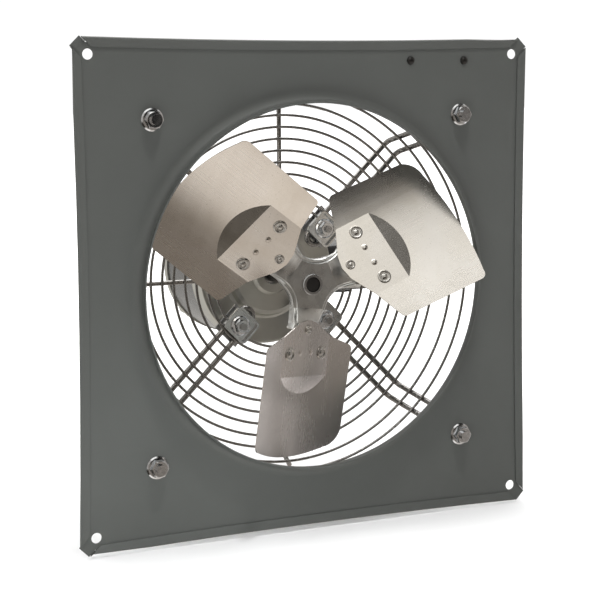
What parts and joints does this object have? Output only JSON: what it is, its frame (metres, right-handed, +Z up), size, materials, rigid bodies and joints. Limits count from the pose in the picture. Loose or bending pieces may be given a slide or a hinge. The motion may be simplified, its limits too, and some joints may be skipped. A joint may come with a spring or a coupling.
{
  "type": "exhaust fan",
  "caption": "Square panel-mounted exhaust fan: hemmed sheet panel, drawn round throat, riveted sheet-metal impeller, wire guard cage and an induction motor behind it.",
  "frame": {"origin": "centre of the four corner mounting holes, in the panel's discharge-side face, on the fan axis", "axes": "+Y along the fan axis from the discharge side to the motor, +Z up, +X to the right seen from the discharge side"},
  "size_m": [0.4128, 0.2436, 0.4128],
  "materials": {
    "panel": "semi-gloss baked enamel",
    "zinc": "bright zinc plate",
    "wire": "bright zinc-plated wire",
    "strap": "zinc-plated pressed steel",
    "blade": "satin rolled sheet",
    "hub": "zinc-plated pressed steel",
    "steel": "turned steel",
    "bell": "die-cast and turned",
    "motor_paint": "glossy enamel",
    "box_paint": "black enamel",
    "core": "laminated electrical steel",
    "copper": "varnished copper wire",
    "cast_bars": "as cast",
    "bush": "moulded nylon",
    "bearing": "ground steel"
  },
  "bodies": {
    "frame": {"panel": "panel", "panel_bolts": "zinc", "panel_flange_nuts": "zinc", "panel_bolt_washers": "zinc", "backing_strip": "strap", "strip_screws": "steel", "strip_nuts": "zinc", "guard_struts": "wire", "guard_face_rings": "wire", "guard_side_rings": "wire", "guard_spokes": "wire", "clamp_saddles": "strap", "clamp_plates": "strap", "clamp_nuts": "zinc", "stud_spacers": "steel", "through_studs": "steel", "front_bell": "bell", "rear_bell": "bell", "motor_shell": "motor_paint", "stator_core": "core", "stator_windings": "copper", "front_bearing": "bearing", "rear_bearing": "bearing", "conduit_box": "box_paint", "conduit_box_cover": "box_paint", "cover_screws": "zinc", "box_screws": "zinc", "cable_bush": "bush"},
    "rotor": {"shaft": "steel", "shaft_collars": "steel", "rotor_core": "core", "rotor_end_rings": "cast_bars", "hub_barrel": "steel", "hub_set_screw": "steel", "spider": "hub", "blade_left": "blade", "blade_right": "blade", "blade_bottom": "blade", "pad_rivets": "steel", "root_rivets": "steel"}
  },
  "joints": [
    {"name": "rotor_spin", "type": "hinge", "parent": "frame", "child": "rotor", "pos_m": [0, 0, 0], "axis": [0, 1, 0], "continuous": true}
  ]
}
